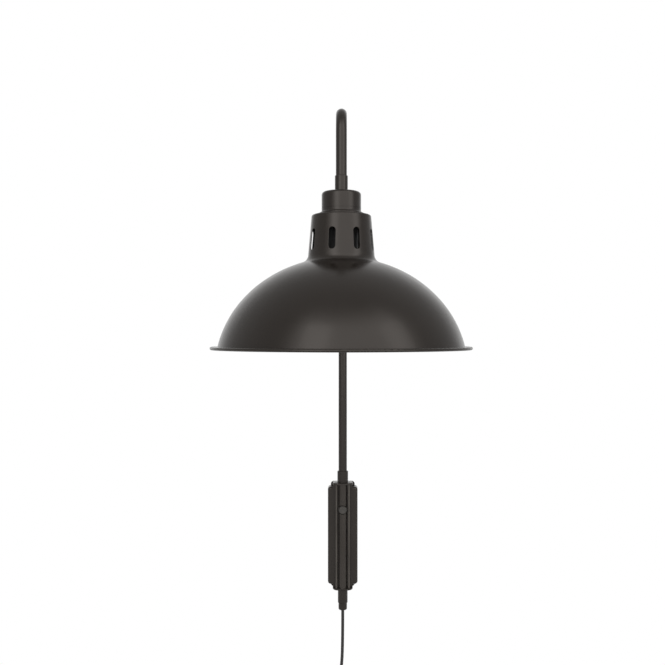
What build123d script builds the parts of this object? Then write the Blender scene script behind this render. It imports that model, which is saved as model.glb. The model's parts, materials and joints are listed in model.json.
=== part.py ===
"""Hanging pendant wall sconce: a vented dome shade on a crook arm that swivels in a wall housing.

Millimetres. +Z is up, the wall is the plane y = 0 and the lamp stands out from it along -Y.
The origin is the middle of the wall plate's back face.
"""

import os
from math import asin, cos, degrees, dist, hypot, pi, radians, sin, tan

from build123d import *

os.makedirs("parts", exist_ok=True)

# ---------------------------------------------------------------- driving dimensions
# Clearances
running_gap = 0.05  # radial, between the arm and its bearings
fit_gap = 0.1  # between pieces that are assembled and stay put
free_gap = 0.3  # between pieces that pass each other
face_gap = 0.05  # end play between stacked pieces

# Arm
tube_radius = 6.35
tube_wall = 1.35
riser_depth = 14.0  # riser axis to the wall
arm_reach = 340.0  # riser axis to shade axis
arm_drop = 48.9  # straight tube above the ferrule, up to the bend
bend_radius = 28.0
swivel_limit = 60.0  # degrees to each side
flex_radius = 2.4

# Wall housing: a core of ribs and a round ridge, with a wing on each side
core_width = 30.4
core_height = 157.4
core_back = 4.3
core_front = 18.0
core_wall = 2.2
cavity_front = 15.5
wing_span = 45.5
wing_end = 4.0  # wings end this far short of the core
wing_corner = 4.5
wing_edge = 3.6
wing_wall = 2.2
wing_front_wall = 2.6
groove_floor = 20.5
ridge_radius = 6.4
ridge_front = 28.0
ridge_bore = 4.2
channel_width = 6.4
rib_middle = 9.5
rib_width = 3.2
rib_front = 25.5
rib_edge = 1.3

# Caps on the housing's ends
cap_thickness = 3.0
cap_front_corner = 9.0
cap_edge = 2.0
cap_screw_depth = 20.5
cap_screw_radius = 1.25
cap_screw_length = 12.0
cap_screw_head = 2.4

# Wall plate
plate_width = 36.8
plate_end = 2.5  # plate stands this far past the core
plate_corner = 4.5
plate_depth = 4.0
plate_thickness = 1.5
wall_hole_radius = 2.25
wall_hole_top = 20.0
wall_hole_spacing = 90.0
tab_height = 12.0
tab_depth = 13.0
tab_level = 50.0
screw_slot_depth = 0.5
screw_slot_width = 0.5
screw_head_angle = 82.0
side_screw_depth = 9.0
side_screw_radius = 1.5
side_screw_head = 2.75

# Bearing of the arm
block_width = 25.4
block_floor = 1.8
block_low = 54.0
bush_radius = 8.0
washer_thickness = 1.5
washer_bore = 3.3
collar_radius = 8.2
collar_height = 17.0
collar_spigot = 7.4
collar_spigot_length = 3.4
collar_chamfer = 0.6
stop_pin_radius = 1.2
stop_pin_level = 4.7
stop_groove_radius = 7.4

# Push switch
switch_level = 41.1
switch_width = 12.0
switch_back = 5.5
switch_front = 13.5
bezel_radius = 6.0
bezel_wall = 0.5
bezel_front = 29.0
bezel_edge = 0.25
spot_face_radius = 6.9
button_radius = 5.4
button_front = 30.2
button_back = 24.0
button_edge = 0.7
button_travel = 2.5
stem_radius = 2.5
stem_back = 9.4
spring_radius = 4.2
spring_wire = 0.35
spring_turns = 6
switch_nut_across = 15.0

# Terminal block and wires inside the housing
terminal_width = 18.0
terminal_back = 6.5
terminal_top = 8.0
terminal_height = 30.0
terminal_way = 4.5  # each way's axis to the middle
terminal_depth = 11.0
sleeve_radius = 2.6
sleeve_bore = 1.5
sleeve_length = 26.0
terminal_screw_radius = 1.4
terminal_screw_inset = 6.0
wire_radius = 0.9
wire_bend = 3.0
wire_side = 9.6
wire_pair = 1.2

# Cord entry
cord_radius = 2.3
cord_inlet_top = -40.0
clamp_width = 18.0
clamp_rise = 18.7  # core's lower end to the middle of the clamp
clamp_height = 8.0
clamp_back = 9.5
clamp_screw_side = 6.4
clamp_screw_radius = 1.25
clamp_screw_head = 2.3
clamp_screw_head_height = 1.6
clamp_screw_front = 19.0
gland_radius = 7.45
gland_length = 21.7
gland_chamfer = 0.5
gland_thread = 5.0
gland_thread_length = 6.5
gland_nut_radius = 6.5
gland_nut_length = 10.8
gland_nut_edge = 2.0
gland_nose = 4.5
gland_nose_length = 6.0
gland_seal_length = 2.6
locknut_across = 14.0
locknut_recess = 8.3
locknut_recess_height = 8.0
locknut_height = 2.6

# Lamp head
ferrule_radius = 7.45
ferrule_height = 18.8
ferrule_chamfer = 0.6
ferrule_floor = 3.8
nipple_radius = 4.9
nipple_bore = 3.2
nipple_grip = 12.0
nipple_drop = 13.0
cup_radius = 22.7
cup_height = 26.8
cup_wall = 1.2
cup_corner = 4.0
cup_lip_radius = 26.0
cup_lip_height = 2.0
cup_groove_level = 7.2
cup_groove_height = 0.8
cup_groove_depth = 0.4
nipple_nut_across = 14.0
nipple_nut_height = 3.5

# Lampholder and bulb (E27)
holder_radius = 19.0
holder_flange_radius = 21.0
holder_flange_height = 2.5
holder_shoulder = 10.0
holder_skirt = 43.0
holder_bore = 14.2
holder_roof = 5.0
holder_skirt_bore = 17.2
cap_seat = 16.0  # lampholder foot to the bulb cap's rim
holder_boss_radius = 8.5
holder_boss_height = 6.0
shell_wall = 0.6
shell_bore = 13.4
shell_height = 25.0
bulb_cap_radius = 13.1
bulb_cap_height = 23.0
bulb_cap_cone = 2.6
bulb_cap_top = 8.0
bulb_contact_radius = 4.0
bulb_contact_height = 1.4
bulb_radius = 30.0
bulb_drop = 48.0  # cap rim to the globe's centre
bulb_neck = 12.6
bulb_wall = 0.9
bulb_collar = 5.0  # straight part of the glass neck
bulb_join = 40.0  # degrees above the globe's widest circle where its neck starts
contact_radius = 5.0
contact_thickness = 0.8
contact_width = 4.0
shade_ring_radius = 27.0
shade_ring_height = 5.0
shade_ring_flange = 2.0
shade_ring_step = 3.0
shade_ring_notches = 8
shade_ring_notch = 2.0

# Shade
brim_reach = 5.6  # rim past the dome's widest circle
rim_level = 293.1  # centre of the rolled edge
rim_bead = 1.8
shade_wall = 1.2
dome_radius = 144.4  # half axes of the dome's elliptical outline
dome_rise = 129.6
dome_sink = 25.05  # ellipse centre below the rolled edge
crown_fillet = 10.0
neck_height = 45.4
neck_top_radius = 34.4
neck_foot_radius = 38.1
neck_corner = 2.4
neck_wall = 0.8
neck_spigot = 7.0
neck_joggle = 1.6
slot_count = 8
slot_width = 7.8
slot_edge = 0.4
slot_height = 24.5
slot_rise = 16.0  # neck foot to the middle of the slots
slot_phase = 28.6  # degrees, first slot to the right of the front
foot_fillet = 1.5

# Free cord: hangs from the gland, its spare length coiled and tied, plug at the end
coil_centre = (0.0, -14.0, -266.0)
coil_outer = 31.6
coil_layers = 4
quarters_per_layer = 10
coil_pitch = 5.1
coil_start = 45.0  # degrees to the left of the coil's top
tie_angle = 60.0  # degrees to the right of the coil's top
tie_width = 8.0
tie_thickness = 1.2
tie_curve_room = 0.8
tie_head_width = 10.0
tie_head_length = 7.0
tie_head_height = 4.0
plug_x = -56.0
plug_y = -17.0
plug_entry = -315.0
relief_cover = 6.0
plug_relief_length = 14.0
plug_relief_top = 3.1
plug_relief_foot = 4.6
plug_length = 32.0
plug_neck_width = 14.0
plug_neck_depth = 10.0
plug_face_width = 35.3
plug_face_depth = 13.7
plug_face_corner = 6.0
plug_skirt = 9.0
pin_radius = 2.0
pin_core = 1.6
pin_length = 19.0
pin_sleeve_length = 10.0
pin_spacing = 18.6
pin_root = 8.0

# ---------------------------------------------------------------- places worked out from them
riser_y = -riser_depth
lamp_y = riser_y - arm_reach
riser_axis = Axis((0, riser_y, 0), (0, 0, 1))
lamp_axis = Axis((0, lamp_y, 0), (0, 0, 1))
riser_plane = Plane(origin=(0, riser_y, 0), x_dir=(1, 0, 0), z_dir=(0, -1, 0))
lamp_plane = Plane(origin=(0, lamp_y, 0), x_dir=(1, 0, 0), z_dir=(0, -1, 0))

core_half = core_height / 2
clamp_level = clamp_rise - core_half
wing_height = core_height - 2 * wing_end
plate_height = core_height + 2 * plate_end
housing_top = core_half + cap_thickness
housing_bottom = -housing_top
cavity_half = core_width / 2 - core_wall
ridge_depth = ridge_front - ridge_radius
block_top = core_half - fit_gap
washer_low = block_low + block_floor
washer_high = washer_low + washer_thickness
tube_foot = washer_high + fit_gap
collar_top = housing_top + collar_height
gland_low = housing_bottom - gland_length
cord_exit = gland_low - gland_nut_length


def crown_angle():
    """Ellipse angle where the crown fillet leaves the dome and stands up along the neck."""
    low, high = radians(45), radians(89)
    for _ in range(60):
        middle = (low + high) / 2
        normal_x = cos(middle) / dome_radius
        normal_z = sin(middle) / dome_rise
        side = dome_radius * cos(middle) + crown_fillet * normal_x / hypot(normal_x, normal_z)
        if side > neck_foot_radius + crown_fillet:
            low = middle
        else:
            high = middle
    return middle


shade_radius = dome_radius + brim_reach
dome_centre = rim_level - dome_sink
flange_top = rim_level + rim_bead
crown = crown_angle()
crown_normal = Vector(cos(crown) / dome_radius, sin(crown) / dome_rise).normalized()
crown_foot = Vector(dome_radius * cos(crown), dome_centre + dome_rise * sin(crown))
fillet_centre = crown_foot + crown_normal * crown_fillet
inner_foot = crown_foot - crown_normal * shade_wall
neck_foot = fillet_centre.Y
neck_top = neck_foot + neck_height
cup_top = neck_top + cup_height + face_gap
cup_foot = neck_top + face_gap
tube_end = cup_top + ferrule_floor
arm_height = cup_top + ferrule_height + arm_drop + bend_radius  # centre line of the arm's top run
nipple_top = tube_end + nipple_grip
nipple_foot = cup_top - nipple_drop
holder_seat = neck_top + face_gap
holder_foot = holder_seat - holder_skirt
holder_top = holder_seat + holder_shoulder
cap_foot = holder_foot + cap_seat
cap_shoulder = cap_foot + bulb_cap_height
bulb_tip = cap_shoulder + bulb_cap_cone + bulb_contact_height


# ================================================================ wall unit
# ---- wall plate: a shallow steel tray with four tabs for the side screws
with BuildPart() as wall_plate:
    with BuildSketch(Plane.XZ):
        RectangleRounded(plate_width, plate_height, plate_corner)
    extrude(amount=plate_depth)
    with BuildSketch(Plane.XZ.offset(plate_thickness)):
        RectangleRounded(
            plate_width - 2 * plate_thickness,
            plate_height - 2 * plate_thickness,
            plate_corner - plate_thickness,
        )
    extrude(amount=plate_depth, mode=Mode.SUBTRACT)
    with BuildSketch(Plane.XZ.offset(plate_depth)):
        with GridLocations(plate_width - plate_thickness, 2 * tab_level, 2, 2):
            Rectangle(plate_thickness, tab_height)
    extrude(amount=tab_depth - plate_depth)
    with BuildSketch(Plane.YZ.offset(-plate_width / 2)):
        with Locations((-side_screw_depth, tab_level), (-side_screw_depth, -tab_level)):
            Circle(side_screw_radius)
    extrude(amount=plate_width, mode=Mode.SUBTRACT)
    with BuildSketch(Plane.XZ):
        with Locations((0, wall_hole_top), (0, wall_hole_top - wall_hole_spacing)):
            Circle(wall_hole_radius)
    extrude(amount=plate_thickness, mode=Mode.SUBTRACT)
wall_plate.part.label = "wall_plate"
export_step(wall_plate.part, "parts/wall_plate.step")

# ---- housing: extruded core with its ridge and ribs, and a wing on each side
with BuildPart() as housing:
    with BuildSketch(Plane.XY.offset(-core_half)) as core_section:
        with Locations((0, -(core_back + core_front) / 2)):
            Rectangle(core_width, core_front - core_back)
        with Locations((0, -(core_front + groove_floor) / 2)):
            Rectangle(2 * rib_middle, groove_floor - core_front)
        rib_depth = (core_front + rib_front) / 2
        with Locations((-rib_middle, -rib_depth), (rib_middle, -rib_depth)):
            Rectangle(rib_width, rib_front - core_front)
        rib_corners = core_section.vertices().group_by(Axis.Y)[0]
        fillet(rib_corners, rib_edge)
        with Locations((0, -ridge_depth)):
            Circle(ridge_radius)
        with Locations((0, -(core_front + ridge_depth) / 2)):
            Rectangle(2 * ridge_radius, ridge_depth - core_front)
    extrude(amount=core_height)
    with BuildPart(mode=Mode.PRIVATE) as wings:
        with BuildSketch(Plane.XZ.offset(free_gap)):
            RectangleRounded(wing_span, wing_height, wing_corner)
        extrude(amount=core_front - free_gap)
        fillet(wings.faces().sort_by(Axis.Y)[0].edges(), wing_edge)
        with BuildSketch(Plane.XZ.offset(free_gap)):
            RectangleRounded(
                wing_span - 2 * wing_wall,
                wing_height - 2 * wing_wall,
                wing_corner - wing_wall,
            )
        extrude(amount=core_front - wing_front_wall - free_gap, mode=Mode.SUBTRACT)
    add(wings.part)
    with BuildSketch(Plane.XY.offset(-core_half)):
        with Locations((0, -(core_back + cavity_front) / 2)):
            Rectangle(2 * cavity_half, cavity_front - core_back)
        with Locations((0, -(cavity_front + ridge_depth) / 2)):
            Rectangle(channel_width, ridge_depth - cavity_front)
        with Locations((0, -ridge_depth)):
            Circle(ridge_bore)
    extrude(amount=core_height, mode=Mode.SUBTRACT)
    # recess for the arm's bush
    with BuildSketch(Plane.XY.offset(block_low)):
        with Locations((0, riser_y)):
            Circle(bush_radius + fit_gap)
    extrude(amount=core_half - block_low, mode=Mode.SUBTRACT)
    # recess for the gland's locknut
    with BuildSketch(Plane.XY.offset(-core_half)):
        with Locations((0, riser_y)):
            Circle(locknut_recess)
    extrude(amount=locknut_recess_height, mode=Mode.SUBTRACT)
    # room for the wall plate behind the wings' ends
    with BuildSketch(Plane.XZ):
        Rectangle(plate_width + 2 * free_gap, wing_height)
    extrude(amount=core_back, mode=Mode.SUBTRACT)
    # spot face and hole for the switch
    with BuildSketch(Plane.XZ.offset(groove_floor)):
        with Locations((0, switch_level)):
            Circle(spot_face_radius)
    extrude(amount=ridge_front - groove_floor, mode=Mode.SUBTRACT)
    with BuildSketch(Plane.XZ.offset(core_back)):
        with Locations((0, switch_level)):
            Circle(bezel_radius + fit_gap)
    extrude(amount=groove_floor - core_back, mode=Mode.SUBTRACT)
    # threaded holes for the cap screws in the ribs, and for the clamp screws in the web
    with BuildSketch(Plane.XY.offset(core_half - cap_screw_length)):
        with Locations((-rib_middle, -cap_screw_depth), (rib_middle, -cap_screw_depth)):
            Circle(cap_screw_radius)
    extrude(amount=cap_screw_length, mode=Mode.SUBTRACT)
    with BuildSketch(Plane.XY.offset(-core_half)):
        with Locations((-rib_middle, -cap_screw_depth), (rib_middle, -cap_screw_depth)):
            Circle(cap_screw_radius)
    extrude(amount=cap_screw_length, mode=Mode.SUBTRACT)
    with BuildSketch(Plane.XZ.offset(cavity_front)):
        with Locations((-clamp_screw_side, clamp_level), (clamp_screw_side, clamp_level)):
            Circle(clamp_screw_radius)
    extrude(amount=clamp_screw_front - cavity_front, mode=Mode.SUBTRACT)
    # countersunk holes for the side screws
    for side in (-1, 1):
        side_plane = Plane(origin=(side * wing_span / 2, 0, 0), x_dir=(0, 1, 0), z_dir=(side, 0, 0))
        with Locations(side_plane):
            with Locations((-side_screw_depth, side * tab_level), (-side_screw_depth, -side * tab_level)):
                CounterSinkHole(
                    side_screw_radius + fit_gap,
                    side_screw_head + 2 * fit_gap,
                    depth=wing_wall + fit_gap,
                )
housing.part.label = "housing"
export_step(housing.part, "parts/housing.step")


def cap_blank(level, thickness):
    """Blank of an end cap: its plan outline extruded from the housing's end and eased outside."""
    with BuildPart(mode=Mode.PRIVATE) as blank:
        with BuildSketch(Plane.XY.offset(level)) as plan:
            with Locations((0, -(core_back + ridge_front) / 2)):
                Rectangle(core_width, ridge_front - core_back)
            fillet(plan.vertices().group_by(Axis.Y)[0], cap_front_corner)
        extrude(amount=thickness)
        outer_face = blank.faces().sort_by(Axis.Z)[-1 if thickness > 0 else 0]
        fillet(outer_face.edges(), cap_edge)
    return blank.part


# ---- top cap, with the hole that the arm's collar stands in
with BuildPart() as top_cap:
    add(cap_blank(core_half, cap_thickness))
    with Locations((0, riser_y, housing_top)):
        Hole(collar_spigot + fit_gap, depth=cap_thickness)
    over_plane = Plane(origin=(0, 0, housing_top), x_dir=(1, 0, 0), z_dir=(0, 0, 1))
    with Locations(over_plane):
        with Locations((-rib_middle, -cap_screw_depth), (rib_middle, -cap_screw_depth)):
            CounterSinkHole(cap_screw_radius + fit_gap, cap_screw_head + 2 * fit_gap, depth=cap_thickness)
top_cap.part.label = "top_cap"
export_step(top_cap.part, "parts/top_cap.step")

# ---- bottom cap, with the hole for the cord gland
with BuildPart() as bottom_cap:
    add(cap_blank(-core_half, -cap_thickness))
    with BuildSketch(Plane.XY.offset(housing_bottom)):
        with Locations((0, riser_y)):
            Circle(gland_thread + fit_gap)
    extrude(amount=cap_thickness, mode=Mode.SUBTRACT)
    under_plane = Plane(origin=(0, 0, housing_bottom), x_dir=(1, 0, 0), z_dir=(0, 0, -1))
    with Locations(under_plane):
        with Locations((-rib_middle, cap_screw_depth), (rib_middle, cap_screw_depth)):
            CounterSinkHole(cap_screw_radius + fit_gap, cap_screw_head + 2 * fit_gap, depth=cap_thickness)
bottom_cap.part.label = "bottom_cap"
export_step(bottom_cap.part, "parts/bottom_cap.step")


def countersunk_screw(plane, head_radius, shank_radius, length):
    """Countersunk screw whose head lies in the plane and whose shank runs against its normal."""
    sink = (head_radius - shank_radius) / tan(radians(screw_head_angle / 2))
    with BuildPart(mode=Mode.PRIVATE) as screw:
        profile_plane = Plane(origin=plane.origin, x_dir=plane.x_dir, z_dir=-plane.y_dir)
        with BuildSketch(profile_plane):
            with BuildLine():
                Polyline(
                    (0, 0),
                    (head_radius, 0),
                    (shank_radius, -sink),
                    (shank_radius, -length),
                    (0, -length),
                    close=True,
                )
            make_face()
        revolve(axis=Axis(plane.origin, plane.z_dir))
        with BuildSketch(plane.offset(-screw_slot_depth)):
            Rectangle(2 * head_radius, screw_slot_width)
        extrude(amount=screw_slot_depth, mode=Mode.SUBTRACT)
    return screw.part


# ---- cap screws: two in each cap
with BuildPart() as cap_screws:
    for end in (-1, 1):
        for side in (-1, 1):
            screw_plane = Plane(
                origin=(side * rib_middle, -cap_screw_depth, end * (housing_top - fit_gap)),
                x_dir=(1, 0, 0),
                z_dir=(0, 0, end),
            )
            screw_grip = cap_thickness + cap_screw_length - 2 * fit_gap - 1
            add(countersunk_screw(screw_plane, cap_screw_head, cap_screw_radius, screw_grip))
cap_screws.part.label = "cap_screws"
export_step(cap_screws.part, "parts/cap_screws.step")

# ---- side screws: four, through the wings into the wall plate's tabs
with BuildPart() as side_screws:
    for side in (-1, 1):
        for level in (-tab_level, tab_level):
            screw_plane = Plane(
                origin=(side * (wing_span / 2 - fit_gap), -side_screw_depth, level),
                x_dir=(0, 1, 0),
                z_dir=(side, 0, 0),
            )
            screw_grip = (wing_span - plate_width) / 2 + plate_thickness + 0.4
            add(countersunk_screw(screw_plane, side_screw_head, side_screw_radius, screw_grip))
side_screws.part.label = "side_screws"
export_step(side_screws.part, "parts/side_screws.step")

# ---- bearing block: cradle for the bush, with a floor that carries the arm's weight
with BuildPart() as bearing_block:
    with BuildSketch(Plane.XY.offset(block_low)):
        with Locations((0, -(core_back + cavity_front) / 2)):
            Rectangle(block_width, cavity_front - core_back - 2 * fit_gap)
    extrude(amount=block_top - block_low)
    with Locations((0, riser_y, block_top)):
        Hole(bush_radius + fit_gap, depth=block_top - washer_low)
        Hole(washer_bore, depth=block_top - block_low)
bearing_block.part.label = "bearing_block"
export_step(bearing_block.part, "parts/bearing_block.step")

# ---- thrust washer under the arm's foot
with BuildPart() as thrust_washer:
    with BuildSketch(Plane.XY.offset(washer_low)):
        with Locations((0, riser_y)):
            Circle(bush_radius)
            Circle(washer_bore, mode=Mode.SUBTRACT)
    extrude(amount=washer_thickness)
thrust_washer.part.label = "thrust_washer"
export_step(thrust_washer.part, "parts/thrust_washer.step")

# ---- swivel bush
with BuildPart() as swivel_bush:
    with BuildSketch(Plane.XY.offset(washer_high)):
        with Locations((0, riser_y)):
            Circle(bush_radius)
            Circle(tube_radius + running_gap, mode=Mode.SUBTRACT)
    extrude(amount=housing_top - collar_spigot_length - fit_gap - washer_high)
swivel_bush.part.label = "swivel_bush"
export_step(swivel_bush.part, "parts/swivel_bush.step")

# ---- collar on top of the housing: upper bearing, with the groove that stops the swivel
pin_level = housing_top + stop_pin_level
pin_half_angle = degrees(asin(stop_pin_radius / tube_radius))
groove_half_angle = swivel_limit + pin_half_angle + 2
with BuildPart() as arm_collar:
    with BuildSketch(riser_plane):
        with BuildLine():
            Polyline(
                (tube_radius + running_gap, housing_top - collar_spigot_length),
                (collar_spigot, housing_top - collar_spigot_length),
                (collar_spigot, housing_top),
                (collar_radius, housing_top),
                (collar_radius, collar_top - collar_chamfer),
                (collar_radius - collar_chamfer, collar_top),
                (tube_radius + running_gap, collar_top),
                close=True,
            )
        make_face()
    revolve(axis=riser_axis)
    with BuildPart(mode=Mode.PRIVATE) as stop_groove:
        with BuildSketch(Plane((0, riser_y, pin_level - stop_pin_radius - free_gap))):
            with BuildLine():
                groove_start = 90 - groove_half_angle
                groove_arc = CenterArc((0, 0), stop_groove_radius, groove_start, 2 * groove_half_angle)
                Line(groove_arc @ 1, (0, 0))
                Line((0, 0), groove_arc @ 0)
            make_face()
        extrude(amount=2 * (stop_pin_radius + free_gap))
    add(stop_groove.part, mode=Mode.SUBTRACT)
arm_collar.part.label = "arm_collar"
export_step(arm_collar.part, "parts/arm_collar.step")

# ---- switch body, nut and bezel
with BuildPart() as switch_body:
    with BuildSketch(Plane.XZ.offset(switch_back)):
        with Locations((0, switch_level)):
            Rectangle(switch_width, switch_width)
    extrude(amount=switch_front - switch_back)
    fillet(switch_body.edges().filter_by(Axis.Y), 1.0)
    with BuildSketch(Plane.XZ.offset(stem_back - button_travel - free_gap)):
        with Locations((0, switch_level)):
            Circle(stem_radius + free_gap)
    extrude(amount=switch_front - stem_back + button_travel + free_gap, mode=Mode.SUBTRACT)
switch_body.part.label = "switch_body"
export_step(switch_body.part, "parts/switch_body.step")

with BuildPart() as switch_nut:
    with BuildSketch(Plane.XZ.offset(switch_front)):
        with Locations((0, switch_level)):
            RegularPolygon(switch_nut_across / 2, 6, major_radius=False)
            Circle(bezel_radius + face_gap, mode=Mode.SUBTRACT)
    extrude(amount=cavity_front - switch_front)
switch_nut.part.label = "switch_nut"
export_step(switch_nut.part, "parts/switch_nut.step")

with BuildPart() as switch_bezel:
    with BuildSketch(Plane.XZ.offset(switch_front)):
        with Locations((0, switch_level)):
            Circle(bezel_radius)
            Circle(bezel_radius - bezel_wall, mode=Mode.SUBTRACT)
    extrude(amount=bezel_front - switch_front)
    bezel_rim = switch_bezel.faces().sort_by(Axis.Y)[0].edges().sort_by(SortBy.RADIUS)[-1]
    fillet(bezel_rim, bezel_edge)
switch_bezel.part.label = "switch_bezel"
export_step(switch_bezel.part, "parts/switch_bezel.step")

# ---- push button and its stem
with BuildPart() as switch_button:
    with BuildSketch(Plane.XZ.offset(button_back)):
        with Locations((0, switch_level)):
            Circle(button_radius)
    extrude(amount=button_front - button_back)
    fillet(switch_button.faces().sort_by(Axis.Y)[0].edges(), button_edge)
    with BuildSketch(Plane.XZ.offset(stem_back)):
        with Locations((0, switch_level)):
            Circle(stem_radius)
    extrude(amount=button_back - stem_back)
switch_button.part.label = "switch_button"
export_step(switch_button.part, "parts/switch_button.step")

# ---- return spring between the switch body and the button
with BuildPart() as switch_spring:
    spring_length = button_back - switch_front - 2 * spring_wire - 2 * fit_gap
    spring_start = Vector(0, -(switch_front + spring_wire + fit_gap), switch_level)
    with BuildLine() as spring_path:
        Helix(
            spring_length / spring_turns,
            spring_length,
            spring_radius,
            center=spring_start,
            direction=(0, -1, 0),
        )
    with BuildSketch(Plane(origin=spring_path.line @ 0, z_dir=spring_path.line % 0)):
        Circle(spring_wire)
    sweep(path=spring_path.line, is_frenet=True)
switch_spring.part.label = "switch_spring"
export_step(switch_spring.part, "parts/switch_spring.step")

# ---- terminal block with its sleeves and screws
terminal_low = terminal_top - terminal_height
terminal_ways = [(-terminal_way, -terminal_depth), (terminal_way, -terminal_depth)]
terminal_levels = (terminal_top - terminal_screw_inset, terminal_low + terminal_screw_inset)
terminal_screw_spots = [(side * terminal_way, level) for side in (-1, 1) for level in terminal_levels]
terminal_screw_front = terminal_depth - sleeve_bore + fit_gap
with BuildPart() as terminal_block:
    with BuildSketch(Plane.XZ.offset(terminal_back)):
        with Locations((0, (terminal_top + terminal_low) / 2)):
            Rectangle(terminal_width, terminal_height)
    extrude(amount=cavity_front - terminal_back)
    fillet(terminal_block.edges().filter_by(Axis.Y), 1.0)
    with BuildSketch(Plane.XY.offset(terminal_low)):
        with Locations(*terminal_ways):
            Circle(sleeve_radius + face_gap)
    extrude(amount=terminal_height, mode=Mode.SUBTRACT)
    with BuildSketch(Plane.XZ.offset(terminal_back)):
        with Locations(*terminal_screw_spots):
            Circle(terminal_screw_radius + fit_gap)
    extrude(amount=terminal_depth - terminal_back, mode=Mode.SUBTRACT)
terminal_block.part.label = "terminal_block"
export_step(terminal_block.part, "parts/terminal_block.step")

with BuildPart() as terminal_sleeves:
    with BuildSketch(Plane.XY.offset((terminal_top + terminal_low - sleeve_length) / 2)):
        with Locations(*terminal_ways):
            Circle(sleeve_radius)
            Circle(sleeve_bore, mode=Mode.SUBTRACT)
    extrude(amount=sleeve_length)
    with BuildSketch(Plane.XZ.offset(terminal_back)):
        with Locations(*terminal_screw_spots):
            Circle(terminal_screw_radius + face_gap)
    extrude(amount=terminal_depth - terminal_back, mode=Mode.SUBTRACT)
terminal_sleeves.part.label = "terminal_sleeves"
export_step(terminal_sleeves.part, "parts/terminal_sleeves.step")

with BuildPart() as terminal_screws:
    with BuildSketch(Plane.XZ.offset(terminal_back + fit_gap)):
        with Locations(*terminal_screw_spots):
            Circle(terminal_screw_radius)
    extrude(amount=terminal_screw_front - terminal_back - fit_gap)
    with BuildSketch(Plane.XZ.offset(terminal_back + fit_gap)):
        with Locations(*terminal_screw_spots):
            Rectangle(2 * terminal_screw_radius, screw_slot_width)
    extrude(amount=screw_slot_depth, mode=Mode.SUBTRACT)
terminal_screws.part.label = "terminal_screws"
export_step(terminal_screws.part, "parts/terminal_screws.step")


def wire(points, radius, bends):
    """Round wire along straight runs joined by tangent arcs."""
    with BuildPart(mode=Mode.PRIVATE) as run:
        with BuildLine() as path:
            FilletPolyline(*points, radius=bends)
        with BuildSketch(Plane(origin=path.line @ 0, z_dir=path.line % 0)):
            Circle(radius)
        sweep(path=path.line)
    return run.part


# ---- wires: from the arm to the switch and the terminals, and from the terminals to the cord
wire_end = terminal_top - terminal_screw_inset / 2
wire_turn = switch_level + switch_width / 2 + 2 * wire_radius
with BuildPart() as feed_wires:
    right_route = [
        (wire_pair, riser_y, washer_low),
        (wire_pair, riser_y, wire_turn + wire_bend),
        (wire_side, -terminal_depth, wire_turn - 2 * wire_radius),
        (wire_side, -terminal_depth, terminal_top + 3 * wire_bend),
        (terminal_way, -terminal_depth, terminal_top + wire_bend),
        (terminal_way, -terminal_depth, wire_end),
    ]
    add(wire(right_route, wire_radius, wire_bend * 0.6))
    left_route = [
        (-wire_pair, riser_y, washer_low),
        (-wire_pair, riser_y, wire_turn + wire_bend),
        (-wire_side, -terminal_depth, wire_turn - 2 * wire_radius),
        (-wire_side, -terminal_depth, switch_level),
        (-switch_width / 2 - face_gap, -terminal_depth, switch_level),
    ]
    add(wire(left_route, wire_radius, wire_bend * 0.6))
feed_wires.part.label = "feed_wires"
export_step(feed_wires.part, "parts/feed_wires.step")

with BuildPart() as switch_wire:
    with BuildSketch(Plane.XY.offset(wire_end)):
        with Locations((-terminal_way, -terminal_depth)):
            Circle(wire_radius)
    extrude(amount=switch_level - switch_width / 2 - wire_end)
switch_wire.part.label = "switch_wire"
export_step(switch_wire.part, "parts/switch_wire.step")

with BuildPart() as mains_wires:
    for side in (-1, 1):
        mains_route = [
            (side * wire_pair, riser_y, cord_inlet_top),
            (side * wire_pair, riser_y, cord_inlet_top + 2 * wire_bend),
            (side * terminal_way, -terminal_depth, cord_inlet_top + 4 * wire_bend),
            (side * terminal_way, -terminal_depth, terminal_low + terminal_screw_inset / 2),
        ]
        add(wire(mains_route, wire_radius, wire_bend))
mains_wires.part.label = "mains_wires"
export_step(mains_wires.part, "parts/mains_wires.step")

# ---- cord clamp and its screws
with BuildPart() as cord_clamp:
    with BuildSketch(Plane.XZ.offset(clamp_back)):
        with Locations((0, clamp_level)):
            RectangleRounded(clamp_width, clamp_height, 2)
    extrude(amount=cavity_front - clamp_back)
    with BuildSketch(Plane.XY.offset(clamp_level - clamp_height / 2)):
        with Locations((0, riser_y)):
            Circle(cord_radius + face_gap)
        with Locations((0, riser_y - cord_radius)):
            Rectangle(2 * (cord_radius + face_gap), 2 * cord_radius)
    extrude(amount=clamp_height, mode=Mode.SUBTRACT)
    with BuildSketch(Plane.XZ.offset(clamp_back)):
        with Locations((-clamp_screw_side, clamp_level), (clamp_screw_side, clamp_level)):
            Circle(clamp_screw_radius + face_gap)
    extrude(amount=cavity_front - clamp_back, mode=Mode.SUBTRACT)
cord_clamp.part.label = "cord_clamp"
export_step(cord_clamp.part, "parts/cord_clamp.step")

with BuildPart() as clamp_screws:
    with BuildSketch(Plane.XZ.offset(clamp_back)):
        with Locations((-clamp_screw_side, clamp_level), (clamp_screw_side, clamp_level)):
            Circle(clamp_screw_radius)
    extrude(amount=clamp_screw_front - clamp_back - free_gap)
    with BuildSketch(Plane.XZ.offset(clamp_back)):
        with Locations((-clamp_screw_side, clamp_level), (clamp_screw_side, clamp_level)):
            Circle(clamp_screw_head)
    extrude(amount=-clamp_screw_head_height)
clamp_screws.part.label = "clamp_screws"
export_step(clamp_screws.part, "parts/clamp_screws.step")

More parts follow.
